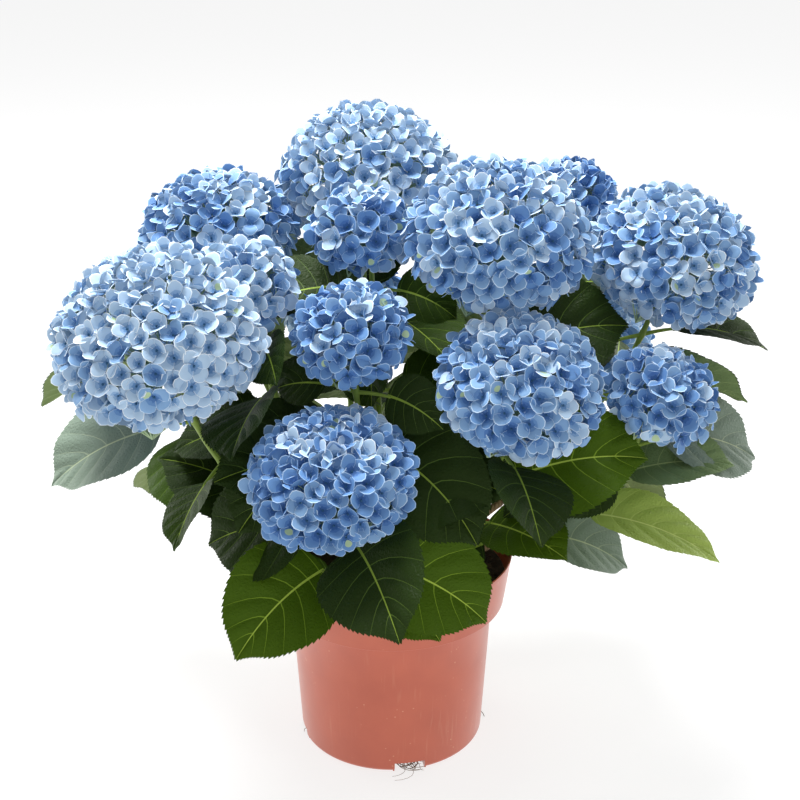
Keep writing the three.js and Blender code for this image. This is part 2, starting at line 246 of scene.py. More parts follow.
def rgb(red, green, blue):
    """A linear colour from its everyday 0-255 values."""
    linear = [((c / 255 + 0.055) / 1.055) ** 2.4 if c > 10 else c / 3294 for c in (red, green, blue)]
    return (*linear, 1.0)


def plain_mesh(thing):
    """The object again with its modifiers applied."""
    evaluated = thing.evaluated_get(bpy.context.evaluated_depsgraph_get())
    made = bpy.data.meshes.new_from_object(evaluated)
    thing.modifiers.clear()
    thing.data = made
    made.name = thing.name
    return thing


def arc(middle, radius, start, end, steps):
    """Outline points (radius, height) round a corner, by angles in degrees."""
    angles = np.radians(np.linspace(start, end, steps))
    return [(middle[0] + radius * cos(a), middle[1] + radius * sin(a)) for a in angles]


def ring_faces(start, sides, point=None):
    """Faces from a ring of points to the next ring, or to the one point that closes it."""
    faces = []
    for k in range(sides):
        j = (k + 1) % sides
        beyond = (start + sides + j, start + sides + k) if point is None else (point,)
        faces.append((start + k, start + j, *beyond))
    return faces


def lathed(outline, sides):
    """Points and faces of a closed solid turned from an outline that starts and ends on the axis."""
    points, faces = [], []
    rings = outline[1:-1]
    turns = np.arange(sides) * 2 * pi / sides
    for radius, height in rings:
        points += [(radius * cos(a), radius * sin(a), height) for a in turns]
    last = (len(rings) - 1) * sides
    for start in range(0, last, sides):
        faces += ring_faces(start, sides)
    foot, top = len(points), len(points) + 1
    points += [(0, 0, outline[0][1]), (0, 0, outline[-1][1])]
    faces += [(b, a, middle) for a, b, middle in ring_faces(0, sides, foot)]
    faces += ring_faces(last, sides, top)
    return points, faces


def pot_outline():
    """The pot's section, up its outside and down its inside."""
    collar_foot = POT_HEIGHT - COLLAR_HEIGHT
    flare = RIM_RADIUS - COLLAR_RADIUS
    outline = [(0, 0)]
    outline += arc((POT_FOOT - POT_FOOT_CORNER, POT_FOOT_CORNER), POT_FOOT_CORNER, -90, 0, 9)
    for s in (0.33, 0.66):
        radius = POT_FOOT + (POT_WAIST - POT_FOOT) * s
        outline.append((radius, POT_FOOT_CORNER + (collar_foot - 0.014) * s))
    outline.append((POT_WAIST, collar_foot - 2 * WAIST_COVE))
    outline.append((POT_WAIST + WAIST_COVE, collar_foot - 0.0002))
    fillet_middle = (COLLAR_RADIUS - COLLAR_FILLET, collar_foot + COLLAR_FILLET)
    outline += arc(fillet_middle, COLLAR_FILLET, -90, 0, 5)
    for s in (0.3, 0.6, 0.9):
        outline.append((COLLAR_RADIUS + flare * s, collar_foot + COLLAR_HEIGHT * s))
    outline += arc((RIM_RADIUS - LIP, POT_HEIGHT - LIP), LIP, 0, 90, 4)
    outline += arc((RIM_RADIUS - POT_WALL + LIP, POT_HEIGHT - LIP), LIP, 90, 180, 4)
    outline += [
        (COLLAR_RADIUS - POT_WALL, collar_foot + POT_WALL),
        (POT_WAIST - POT_WALL, collar_foot + POT_WALL),
        (POT_FOOT - POT_WALL, POT_WALL + POT_FOOT_CORNER),
        (POT_FOOT - POT_WALL - POT_FOOT_CORNER, POT_WALL),
        (0, POT_WALL),
    ]
    return outline


def channel_bars(name, width, height, start, end, foot):
    """A bar along each drainage channel, from one radius to another."""
    box = (0, 1, 3, 2), (4, 6, 7, 5), (0, 4, 5, 1), (2, 3, 7, 6), (0, 2, 6, 4), (1, 5, 7, 3)
    points, faces = [], []
    for turn in channel_turns:
        along, across = (cos(turn), sin(turn)), (-sin(turn), cos(turn))
        faces += [[len(points) + k for k in face] for face in box]
        for r, side, z in product((start, end), (-width / 2, width / 2), (foot, height)):
            points.append((along[0] * r + across[0] * side, along[1] * r + across[1] * side, z))
    return mesh_piece(name, points, faces, [], smooth=False)


def terracotta_plastic():
    """Satin moulded plastic: mottled pigment, pale and golden specks, and faint upright scuffs."""
    finish = Finish(
        "terracotta_plastic", specular_ior_level=0.15, coat_weight=1.0, coat_ior=1.6, coat_roughness=0.3
    )
    place = finish.place()
    clay = finish.mix(finish.cloud(place, 22, 3), rgb(180, 78, 50), rgb(204, 98, 66))
    scuff = finish.mask(finish.cloud(finish.drawn_up(place, 0.06), 260), 0.60, 0.76)
    scuff = scuff * finish.mask(finish.cloud(place, 14), 0.45, 0.68)
    dust = finish.node("ShaderNodeTexVoronoi", {"Vector": place, "Scale": 120.0, "Randomness": 1.0})
    speck = finish.mask(dust, 0.14, 0.0) * finish.mask(finish.cloud(place, 34), 0.46, 0.60)
    marks = scuff * 0.16 + speck * 0.75
    return finish.feed(
        base_color=finish.mix(marks, clay, rgb(232, 186, 150)),
        roughness=0.44 + 0.16 * finish.cloud(place, 40, 3) + marks * 0.2,
        normal=finish.relief(finish.cloud(place, 900) * 0.5 + scuff * 0.6, 0.00025, 0.5),
    )


points, faces = lathed(pot_outline(), POT_SIDES)
pot = mesh_piece("nursery_pot", points, faces, [terracotta_plastic()])
for label, operation, grow, start, end, foot in (
    ("roofs", "UNION", CHANNEL_ROOF, CHANNEL_HUB - CHANNEL_ROOF, POT_FOOT - POT_WALL - 0.001, 0.0005),
    ("cuts", "DIFFERENCE", 0, CHANNEL_HUB, POT_FOOT + 0.004, -0.002),
):
    bars = channel_bars(label, CHANNEL_WIDTH + 2 * grow, CHANNEL_HEIGHT + grow, start, end, foot)
    cut = pot.modifiers.new(label, "BOOLEAN")
    cut.operation = operation
    cut.object = bars
    plain_mesh(pot)
    bpy.data.objects.remove(bars)
pot.data.set_sharp_from_angle(angle=radians(32))
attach(pot, "root")
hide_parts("pot")


# ---------------------------------------------------------------- potting soil
# Dark peat mix, filled to a thumb's breadth below the rim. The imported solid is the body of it;
# a loose layer of crumbs and bark chips, strewn by one seeded rule, covers its top.

SOIL_TOP = 0.192
SOIL_RADIUS = 0.119
BED_SIDES, BED_MARGIN, BED_FALL = 48, 0.004, 0.002
CRUMB_SIZE = 0.0055
CRUMBS_PER_M2 = 60000


def peat():
    finish = Finish("moist_peat", specular_ior_level=0.3)
    place = finish.place()
    lump = finish.cloud(place, 160, 3)
    colours = (0.3, rgb(24, 17, 12)), (0.55, rgb(48, 35, 26)), (0.78, rgb(82, 62, 46))
    return finish.feed(
        base_color=finish.ramp(lump, *colours),
        roughness=0.8 + 0.15 * lump,
        normal=finish.relief(finish.cloud(place, 700, 3), 0.0006, 0.8),
    )


class Tree:
    """A Geometry Nodes tree with named inputs."""

    def __init__(self, name, **inputs):
        self.group = bpy.data.node_groups.new(name, "GeometryNodeTree")
        sockets = self.group.interface
        for way in ("INPUT", "OUTPUT"):
            sockets.new_socket("Geometry", in_out=way, socket_type="NodeSocketGeometry")
        self.keys = {}
        for label, kind in inputs.items():
            made = sockets.new_socket(label, in_out="INPUT", socket_type=f"NodeSocket{kind}")
            self.keys[label] = made.identifier
        self.entry = self.group.nodes.new("NodeGroupInput")

    def node(self, kind, inputs, **settings):
        return add_node(self.group, kind, settings, inputs).outputs[0]

    def given(self, label):
        return self.entry.outputs[label]

    def finish(self, geometry):
        add_node(self.group, "NodeGroupOutput", {}, {"Geometry": geometry})

    def grow(self, thing, **values):
        """Runs the tree on an object and leaves the result as its plain mesh."""
        modifier = thing.modifiers.new(self.group.name, "NODES")
        modifier.node_group = self.group
        for label, value in values.items():
            modifier[self.keys[label]] = value
        return plain_mesh(thing)


def crumb_tree(material):
    tree = Tree("strewn_crumbs", crumb_size="Float", per_square_metre="Float", seed="Int")
    seed = tree.given("seed")

    def between(low, high):
        sockets = {"Min": low, "Max": high, "Seed": seed}
        return tree.node("FunctionNodeRandomValue", sockets, data_type="FLOAT_VECTOR")

    spread = tree.node(
        "GeometryNodeDistributePointsOnFaces",
        {"Mesh": tree.given("Geometry"), "Density": tree.given("per_square_metre"), "Seed": seed},
    )
    ball = tree.node("GeometryNodeMeshIcoSphere", {"Radius": 0.5, "Subdivisions": 1})
    sides = between((0.35, 0.25, 0.2), (1.5, 0.9, 0.7))
    scale = {"Vector": sides, "Scale": tree.given("crumb_size")}
    laid = tree.node(
        "GeometryNodeInstanceOnPoints",
        {
            "Points": spread,
            "Instance": ball,
            "Rotation": between((-0.6, -0.6, 0), (0.6, 0.6, 6.28)),
            "Scale": tree.node("ShaderNodeVectorMath", scale, operation="SCALE"),
        },
    )
    real = tree.node("GeometryNodeRealizeInstances", {"Geometry": laid})
    tree.finish(tree.node("GeometryNodeSetMaterial", {"Geometry": real, "Material": material}))
    return tree


soil_finish = peat()
frame["nodes"]["potting_soil"].data.materials.clear()
frame["nodes"]["potting_soil"].data.materials.append(soil_finish)

bed_points = [(0, 0, SOIL_TOP)]
for i in range(BED_SIDES):
    turn = i * 2 * pi / BED_SIDES
    reach = SOIL_RADIUS - BED_MARGIN
    bed_points.append((reach * cos(turn), reach * sin(turn), SOIL_TOP - BED_FALL))
bed_faces = [(0, i + 1, (i + 1) % BED_SIDES + 1) for i in range(BED_SIDES)]
crumbs = mesh_piece("soil_crumbs", bed_points, bed_faces, [])
crumb_tree(soil_finish).grow(
    crumbs, crumb_size=CRUMB_SIZE, per_square_metre=CRUMBS_PER_M2, seed=7
)
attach(crumbs, "root")


# ---------------------------------------------------------------- root crown and canes
# The woody stool that the shoots rise from, and the bare length of each shoot: pale brown bark
# that splits and flakes lengthwise, with a swollen ring at each old pair of leaf scars. Each
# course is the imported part's own rule, written again, so that every piece meets its neighbour.

GAP = 0.0003
CROWN_RADIUS, CROWN_SUNK, CROWN_BARK = 0.046, 0.012, 0.0015
CROWN_RINGS, CROWN_SIDES = 10, 36
CROWN_MIDDLE = np.array((0, 0, SOIL_TOP - CROWN_SUNK))
CANE_FOOT, CANE_TOP, CANE_SIDES = 0.0050, 0.0039, 12
CANE_TURN_DOWN, CANE_MOST_TILT = 1.4, 62
SCARS, SCAR_SPACING, SCAR_WIDTH = 6, 0.034, 0.0035
STEM_FOOT, STEM_TOP = 0.0038, 0.0030
STEM_BELOW_PAIR, FIRST_PAIR, PAIR_SPACING = 0.020, 0.024, 0.057
COURSE_STEPS = 48
HEAD_TOP, HEAD_BOTTOM, HEAD_LEAN = 0.42, 0.34, 0.45

# Each shoot: middle, width and flatness of its bloom, its largest blade, its pairs of leaves from
# the top down as (direction, lift, size) in degrees and over that blade, and the finish of each of
# their two leaves by initial: d deep, m mid, b bright, y young, p pale, partly with painted light,
# g greyed with a painted sheen
SHOOTS = {
    "front": (
        (-0.054, -0.190, 0.390), 0.160, 0.87, 0.138,
        ((-38, 12), (-158, 7, 0.9), (155, 2, 0.6)), "dd bb mb",
    ),
    "middle": (
        (-0.036, -0.120, 0.506), 0.115, 1, 0.122,
        ((175, 14, 0.75), (172, -18), (165, 30, 1.15)), "dd dd dd",
    ),
    "front_right": (
        (0.121, -0.155, 0.468), 0.160, 1, 0.130,
        ((-84, 3, 0.8), (25, 40), (-22, 26, 0.75)), "dd bm bm",
    ),
    "big_left": (
        (-0.214, -0.125, 0.504), 0.208, 1, 0.148,
        ((176, -20, 0.9), (-95, -18, 0.5), (-115, 0, 0.55), (162, 56, 0.85)), "gd mm gd dd",
    ),
    "high_right": (
        (0.102, -0.070, 0.585), 0.180, 1, 0.134,
        ((95, -10, 0.8), (35, 13, 1.08), (-20, 0), (80, 0)), "dd dm dd dd",
    ),
    "left": ((-0.141, -0.070, 0.539), 0.106, 1, 0.112, ((-15, 0), (80, 0), (165, 0)), "dm md dm"),
    "low_right": (
        (0.264, -0.090, 0.432), 0.113, 1, 0.130,
        ((50, 3, 1.0), (0, 42, 0.85), (-2, 14, 1.15), (26, 16, 0.8)), "gd pd yd gd",
    ),
    "right": (
        (0.283, 0.010, 0.539), 0.174, 1, 0.130,
        ((18, -7), (100, 0), (10, 0), (70, -6, 1)), "dd md gm gm",
    ),
    "middle_high": (
        (-0.028, -0.020, 0.578), 0.107, 1, 0.108,
        ((185, 0), (95, 0), (10, 0), (90, 0)), "dm dm md dm",
    ),
    "back_left": (
        (-0.179, 0.070, 0.546), 0.167, 1, 0.122,
        ((12, 30), (100, 0), (175, 4), (200, 0)), "dd md dm md",
    ),
    "back_right": (
        (0.192, 0.140, 0.567), 0.106, 1, 0.112,
        ((-30, 28), (60, 0), (150, 0), (40, 0)), "md dm dm md",
    ),
    "top": (
        (-0.024, 0.130, 0.592), 0.190, 1, 0.120,
        ((200, 0), (110, 0), (10, 0), (100, 0)), "dd dm bd md",
    ),
    "rear_left": (
        (-0.255, 0.165, 0.420), 0.125, 1, 0.155,
        ((205, 4), (120, 4), (152, 10)), "gm dm gd",
    ),
    "rear_right": (
        (0.245, 0.225, 0.375), 0.122, 1, 0.130,
        ((30, 0), (110, 0), (20, 0)), "dm mb dm",
    ),
    "behind": (
        (-0.062, 0.235, 0.425), 0.150, 1, 0.130,
        ((95, 0), (180, 0), (90, 0)), "mb dm md",
    ),
    "behind_right": (
        (0.115, 0.235, 0.420), 0.140, 1, 0.130,
        ((70, 0), (160, 0), (60, 0)), "bm dm dm",
    ),
}


def heading(azimuth, tilt):
    flat = sin(tilt)
    return np.array((flat * cos(azimuth), flat * sin(azimuth), cos(tilt)))


def unit(vector):
    return vector / np.linalg.norm(vector)


def dice(seed):
    """Repeatable random numbers from 0 to 1."""
    state = seed
    while True:
        state = state * 16807 % 2147483647
        yield state / 2147483647


class Shoot:
    """One shoot's course from the crown to the underside of its bloom, measured along it."""

    def __init__(self, name, index, middle, width, flat, blade, pairs, tints):
        self.name, self.seed = name, 101 + 37 * index
        self.middle, self.width, self.blade = np.array(middle), width, blade
        self.top_depth, self.under_depth = HEAD_TOP * width * flat, HEAD_BOTTOM * width * flat
        self.pairs, self.tints = pairs, tints.split()
        x, y, z = middle
        self.outward = atan2(y, x)
        tilt = atan2(hypot(x, y), z - CROWN_MIDDLE[2])
        self.axis = heading(self.outward, HEAD_LEAN * tilt)
        leave = heading(self.outward, min(CANE_TURN_DOWN * tilt, radians(CANE_MOST_TILT)))
        start = CROWN_MIDDLE + leave * (CROWN_RADIUS + GAP)
        end = self.middle - self.axis * self.under_depth
        pull = np.linalg.norm(end - start) / 3
        t = np.linspace(0, 1, COURSE_STEPS + 1)[:, None]
        corners = (start, start + leave * pull, end - self.axis * pull, end)
        weights = ((1 - t) ** 3, 3 * t * (1 - t) ** 2, 3 * t * t * (1 - t), t**3)
        self.points = sum(w * c for w, c in zip(weights, corners))
        steps = np.linalg.norm(np.diff(self.points, axis=0), axis=1)
        self.marks = np.concatenate(([0], np.cumsum(steps)))
        self.length = self.marks[-1]
        self.stem_foot = self.pair_mark(len(pairs) - 1) - STEM_BELOW_PAIR

    def at(self, distance):
        i = int(min(max(np.searchsorted(self.marks, distance), 1), COURSE_STEPS))
        share = (distance - self.marks[i - 1]) / (self.marks[i] - self.marks[i - 1])
        return self.points[i - 1] + (self.points[i] - self.points[i - 1]) * share

    def pair_mark(self, pair):
        return self.length - FIRST_PAIR - pair * PAIR_SPACING


shoots = [Shoot(name, i, *row) for i, (name, row) in enumerate(SHOOTS.items())]


class Heap:
    """Points and faces of many like things, gathered for one joined piece."""

    def __init__(self):
        self.points, self.faces, self.finishes = [], [], []

    def add(self, points, faces, finishes):
        first = len(self.points)
        self.points.extend(points)
        self.faces.extend([tuple(first + i for i in face) for face in faces])
        self.finishes.extend([finishes] * len(faces) if isinstance(finishes, int) else finishes)

    def tube(self, course, radii, sides, finish=0, relief=None, closed=True):
        """A round limb along a course of points. Relief gives a radius factor at (point, spoke)."""
        points, faces = [], []
        along = [unit(b - a) for a, b in zip(course[:-1], course[1:])]
        across = unit(np.cross((0.31, 0.95, 0.05), along[0]))
        for point, radius, ahead in zip(course, radii, (*along, along[-1])):
            across = unit(across - ahead * np.dot(across, ahead))
            other = np.cross(ahead, across)
            for k in range(sides):
                angle = k * 2 * pi / sides
                spoke = across * cos(angle) + other * sin(angle)
                points.append(point + spoke * (radius * relief(point, spoke) if relief else radius))
        last = len(along) * sides
        for start in range(0, last, sides):
            faces += ring_faces(start, sides)
        if closed:
            faces += [range(sides)[::-1], range(last, last + sides)]
        self.add(points, faces, finish)

    def piece(self, name, materials):
        return mesh_piece(name, self.points, self.faces, materials, self.finishes)


def flaking_bark():
    finish = Finish("flaking_bark", specular_ior_level=0.3)
    strand = finish.cloud(finish.drawn_up(finish.place(), 0.18), 420, 4, 0.6)
    colours = (0.34, rgb(70, 52, 38)), (0.52, rgb(138, 112, 82)), (0.72, rgb(186, 164, 132))
    return finish.feed(
        base_color=finish.ramp(strand, *colours),
        roughness=0.7 + 0.2 * strand,
        normal=finish.relief(strand, 0.0009, 0.7),
    )


def bark_relief(point, spoke):
    x, y, z = point
    ridge = noise.noise(Vector((spoke[0] * 3.1 + x * 9, spoke[1] * 3.1 + y * 9, z * 34)))
    flake = noise.noise(Vector((spoke[0] * 7 + z * 60, spoke[1] * 7, z * 150)))
    return 1 + 0.09 * ridge + 0.06 * abs(flake)


def swelling(mark, seats, width):
    """How far a limb is swollen at a mark, by the rings at these seats: 1 at a ring's middle."""
    return sum(exp(-(((mark - seat) / width) ** 2)) for seat in seats)


bark = flaking_bark()

crown_points, crown_faces = [], []
foot_angle = degrees(asin((CROWN_SUNK - 0.003) / CROWN_RADIUS))
for ring in range(CROWN_RINGS + 1):
    climb = radians(foot_angle + (90 - foot_angle) * ring / CROWN_RINGS)
    for k in range(CROWN_SIDES if ring < CROWN_RINGS else 1):
        out = heading(k * 2 * pi / CROWN_SIDES, pi / 2 - climb)
        bump = 0.0035 * noise.fractal(Vector(out * 3.3), 0.6, 2.1, 4)
        crown_points.append(CROWN_MIDDLE + out * (CROWN_RADIUS - CROWN_BARK + bump))
for ring in range(CROWN_RINGS):
    peak = len(crown_points) - 1 if ring + 1 == CROWN_RINGS else None
    crown_faces += ring_faces(ring * CROWN_SIDES, CROWN_SIDES, peak)
crown_faces.append(range(CROWN_SIDES)[::-1])
crown = mesh_piece("root_crown_bark", crown_points, crown_faces, [bark])
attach(crown, "root")
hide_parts("root_crown")

cane_heap = Heap()
for shoot in shoots:
    top = shoot.stem_foot + 0.004
    marks = np.arange(-0.006, top, 0.0028)
    scars = [shoot.stem_foot - 0.016 - SCAR_SPACING * k for k in range(SCARS)]
    radii = []
    for mark in marks:
        radius = CANE_FOOT + (CANE_TOP - CANE_FOOT) * max(mark, 0) / top
        radii.append(radius * (0.97 + 0.16 * swelling(mark, scars, SCAR_WIDTH)))
    cane_heap.tube([shoot.at(mark) for mark in marks], radii, CANE_SIDES, relief=bark_relief)
canes = cane_heap.piece("canes", [bark])
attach(canes, "root")
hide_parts(*(f"cane_{shoot.name}" for shoot in shoots))


# ---------------------------------------------------------------- drain roots
# Thin roots that have found their way out of each drainage channel and lie on the ground, where
# some of them bend away along the foot of the pot.

ROOTS_PER_CHANNEL = 18
ROOT_RADIUS = 0.0006
ROOT_START, ROOT_REACH, ROOT_STRAY = 0.070, 0.020, 0.026

root_heap = Heap()
random = dice(4021)
t = np.linspace(0, 1, 10)
for channel_turn in channel_turns:
    for _ in range(ROOTS_PER_CHANNEL):
        thick, reach, start, bend, climb, wave = (next(random) for _ in range(6))
        thick = ROOT_RADIUS * (0.5 + thick**2)
        out = ROOT_START + (ROOT_REACH + ROOT_STRAY * reach**4) * np.sin(t * pi / 2)
        turn = channel_turn + 0.26 * (start - 0.5)
        turn = turn + 1.2 * (bend - 0.5) * np.clip(t - 0.45, 0, 1) ** 1.5
        turn += 0.012 * np.sin(9 * t + 6.28 * wave)
        height = thick + 0.006 * climb * (1 - t) ** 2
        course = np.stack((out * np.cos(turn), out * np.sin(turn), height), 1)
        root_heap.tube(course, thick * (1.1 - 0.6 * t), 5)
drain_roots = root_heap.piece("drain_roots", [bark])
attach(drain_roots, "root")


# ---------------------------------------------------------------- green stems
# This year's soft growth: smooth green stems, faintly ribbed and freckled, swollen where each
# opposite pair of leaves joins. The last length is the stalk that runs up into the bloom.

STEM_SIDES, STEM_STEP = 10, 0.0038
NODE_WIDTH = 0.0045
STALK_SHARE = 0.12


def green_skin():
    finish = Finish("stem_green", specular_ior_level=0.45)
    place = finish.place()
    tone = finish.cloud(place, 30)
    fleck = finish.mask(finish.cloud(place, 950, 1), 0.66, 0.74)
    colour = finish.mix(tone, rgb(104, 134, 44), rgb(150, 172, 82))
    return finish.feed(
        base_color=finish.mix(fleck * 0.6, colour, rgb(96, 70, 44)),
        roughness=0.42 + 0.12 * tone,
        normal=finish.relief(finish.cloud(place, 500), 0.0003, 0.4),
    )


stem_heap = Heap()
for shoot in shoots:
    marks = np.arange(shoot.stem_foot, shoot.length + STALK_SHARE * shoot.width, STEM_STEP)
    nodes = [shoot.pair_mark(pair) for pair in range(len(shoot.pairs))]
    radii = []
    for mark in marks:
        share = (mark - shoot.stem_foot) / (shoot.length - shoot.stem_foot)
        radius = STEM_FOOT + (STEM_TOP - STEM_FOOT) * min(share, 1)
        radii.append(radius * (0.92 + 0.30 * swelling(mark, nodes, NODE_WIDTH)))
    stem_heap.tube([shoot.at(mark) for mark in marks], radii, STEM_SIDES)
stems = stem_heap.piece("green_stems", [green_skin()])
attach(stems, "root")


# ---------------------------------------------------------------- leaves
# Broad toothed hydrangea leaves in opposite pairs, each on a short petiole. A blade is a thin
# closed skin whose columns follow its side veins, so that the veins lie in the mesh itself, with
# the blade quilted between them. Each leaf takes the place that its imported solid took.

PETIOLE, PETIOLE_RADIUS, PETIOLE_SIDES = 0.032, 0.0019, 7
BLADE_ASPECT, BLADE_FOLD, BLADE_BEND = 0.44, 13, 48
YOUNG_NARROWING = 0.62
SKIN, RIB_HALF, FOLD_ROUNDING = 0.0005, 0.0014, 0.004
RUFFLES = 1.9
LEVEL_HEIGHT, HANG = 0.465, 190
SWING, ROLL = 24, 56
PAIR_SIZES = (0.9, 1, 0.92, 0.8)
ANGLE_SPREAD, SIZE_SPREAD = 7, 0.06
# Places that a leaf may take, tried in order: turn and lift in degrees, and size
PLACES = (
    (0, 0, 1), (15, 4, 1), (-15, 4, 1), (6, 16, 0.95), (-6, -16, 0.95),
    (28, 10, 0.85), (-28, 10, 0.85), (0, 24, 0.75), (14, -22, 0.7), (-34, -12, 0.65),
)
VEIN_SEATS, VEIN_HALF = (0.06, 0.21, 0.37, 0.53, 0.68, 0.81), 0.0040
# Rows of a blade from edge to edge, as a side and the share of the way out from the midrib
ACROSS = (1, 0.84, 0.64, 0.42, 0.2, 0)
ROWS = [(-1, a) for a in ACROSS] + [(0, 0)] + [(1, a) for a in ACROSS[::-1]]
LAST_ROW, RIB_ROW = len(ROWS) - 1, len(ACROSS)
# Colours of each tone's blade, side veins and midrib, and the blade's roughness
BLADE_TONES = {
    "d": (rgb(36, 53, 15), rgb(82, 104, 44), rgb(136, 160, 62), 0.52),
    "m": (rgb(48, 70, 13), rgb(100, 128, 42), rgb(156, 180, 70), 0.52),
    "b": (rgb(66, 92, 10), rgb(122, 150, 44), rgb(172, 196, 78), 0.54),
    "y": (rgb(166, 187, 96), rgb(190, 207, 118), rgb(212, 224, 142), 0.56),
    # p: partly a paler leaf, partly painted light that lifts a leaf lying in shade
    "p": (rgb(122, 144, 96), rgb(152, 172, 118), rgb(178, 194, 134), 0.54),
    # g: dark green greyed by a painted sheen and haze, the white surroundings reflected off a waxy leaf
    "g": (rgb(124, 140, 124), rgb(156, 168, 144), rgb(182, 192, 156), 0.50),
}


class Midrib:
    """A leaf's arching course: where it is, and which ways are sideways and upwards, along it."""

    def __init__(self, root, azimuth, slope, roll, blade):
        self.root, self.blade, self.reach = root, blade, PETIOLE + blade
        self.bend = radians(BLADE_BEND)
        self.rise = slope + self.bend / 2
        self.ahead = heading(azimuth, pi / 2)
        self.aside = np.array((-sin(azimuth), cos(azimuth), 0))
        self.roll = roll

    def at(self, marks):
        pitch = (self.rise - self.bend * np.asarray(marks, float) / self.reach)[..., None]
        size = self.reach / self.bend
        up = np.array((0.0, 0.0, 1.0))
        centre = self.root + self.ahead * size * (sin(self.rise) - np.sin(pitch))
        centre = centre + up * size * (np.cos(pitch) - cos(self.rise))
        upright = -self.ahead * np.sin(pitch) + up * np.cos(pitch)
        side = self.aside * cos(self.roll) + upright * sin(self.roll)
        face = upright * cos(self.roll) - self.aside * sin(self.roll)
        return centre, side, face


def spreader(random):
    """A function that gives random numbers from -size to size."""
    return lambda size: (2 * next(random) - 1) * size


def leaf_seats(shoot):
    """The leaves that a shoot may carry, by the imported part's rule."""
    spread = spreader(dice(shoot.seed))
    for pair, (direction, lift, *size) in enumerate(shoot.pairs):
        root = shoot.at(shoot.pair_mark(pair))
        turn = radians(direction + spread(ANGLE_SPREAD))
        for half in (0, 1):
            straight = turn + half * pi
            azimuth = straight + radians(SWING) * sin(shoot.outward - straight)
            hang = (root[2] - LEVEL_HEIGHT) * HANG
            slope = radians(hang + lift + spread(ANGLE_SPREAD))
            roll = -radians(ROLL) * sin(shoot.outward - azimuth)
            blade = shoot.blade * (size or PAIR_SIZES[pair:])[0] * (1 + spread(SIZE_SPREAD))
            yield shoot.tints[pair][half], root, azimuth, slope, roll, blade


def seated_leaves(shoot):
    """(tone, midrib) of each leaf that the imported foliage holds: its tip is one of its corners."""
    corners = frame["nodes"][f"foliage_{shoot.name}"].data.vertices
    tips = KDTree(len(corners))
    for i, corner in enumerate(corners):
        tips.insert(corner.co, i)
    tips.balance()
    for tone, root, azimuth, slope, roll, blade in leaf_seats(shoot):
        for turn, lift, size in PLACES:
            turned, lifted = azimuth + radians(turn), slope + radians(lift)
            midrib = Midrib(root, turned, lifted, roll, blade * size)
            if tips.find(Vector(midrib.at(midrib.reach)[0]))[2] < 3e-5:
                yield tone, midrib
                break


def blade_width(t):
    """Half-width over the greatest, from base to tip: broadly egg-shaped, drawn out to a point."""
    t = np.clip(t, 0, 1)
    late = np.clip((t - 0.78) / 0.22, 0, 1)
    drawn_in = 1 - 0.5 * late**2 * (3 - 2 * late)
    return t**0.5 * (1 - t) ** 0.8 / 0.4206 * drawn_in


def vein_columns():
    """Columns of a half blade as (seat, offset at a vein, share of the way between two veins), and
    which of the strips between them are veins."""
    columns, strips = [(0.006, 0, 0.1), (0.038, 0, 0.5)], [False, False]
    for i, seat in enumerate(VEIN_SEATS):
        columns += [(seat, -VEIN_HALF, 0), (seat, VEIN_HALF, 0)]
        strips += [True, False]
        if i + 1 < len(VEIN_SEATS):
            step = VEIN_SEATS[i + 1] - seat
            columns += [(seat + step * share, 0, share) for share in (0.25, 0.5, 0.75)]
            strips += [False] * 3
    columns += [(0.855, 0, 0.3), (0.90, 0, 0.5), (0.95, 0, 0.6), (0.996, 0, 0.3)]
    return np.array(columns), strips + [False] * 3


COLUMNS, VEIN_STRIPS = vein_columns()


def top_at(row, column):
    """The number of a blade's upper point."""
    return row * len(COLUMNS) + column


def under_at(row, column):
    """The number of the point under it, which at the blade's edge is the same one."""
    if row in (0, LAST_ROW):
        return top_at(row, column)
    return top_at(len(ROWS) + row - 1, column)


def blade_rows(midrib, tone, random):
    """Upper and under points of each row of a blade: folded, quilted and ruffled."""
    blade = midrib.blade
    half_width = BLADE_ASPECT * blade * (YOUNG_NARROWING if tone == "y" else 1)
    left, right, twist, _ = (next(random) * 6.28 for _ in range(4))
    wave = 0.010 + 0.010 * next(random)
    quilt = 0.016 + 0.006 * next(random)
    seats, offsets, shares = COLUMNS.T
    tops, unders = [], []
    for side, a in ROWS:
        seat = seats + offsets * (1.25 - 1.1 * a)
        swell = np.sin(pi * seat)
        foot = seat - 0.085 * swell
        end = seat + 0.215 * swell**1.2
        t = foot + (end - foot) * a**1.5
        rib = RIB_HALF * (1 - 0.8 * seat)
        x = side * (rib + np.maximum(half_width * blade_width(end) - rib, 0) * a)
        bulge = 4 * shares * (1 - shares) * min(1, 2.4 * a, 4.0 * (1.06 - a))
        lift = np.hypot(x, FOLD_ROUNDING) - FOLD_ROUNDING
        lift = lift * tan(radians(BLADE_FOLD)) + quilt * blade * bulge * swell**0.5
        ripple = np.sin(6.28 * RUFFLES * seat + (left if side < 0 else right))
        lift = lift + wave * blade * a**2.2 * ripple * swell**0.5 - SKIN * (a == 0)
        centre, across, face = midrib.at(PETIOLE + t * blade)
        lean = 0.015 * blade * np.sin(2.6 * t + twist)
        top = centre + across * (x + lean)[:, None] + face * lift[:, None]
        thick = SKIN + (0.0016 * (1 - seat) + 0.0004) * (a == 0) + SKIN * (offsets != 0) * (1 - a)
        tops.append(top)
        unders.append(top - face * thick[:, None] * (a < 1))
    return tops, unders


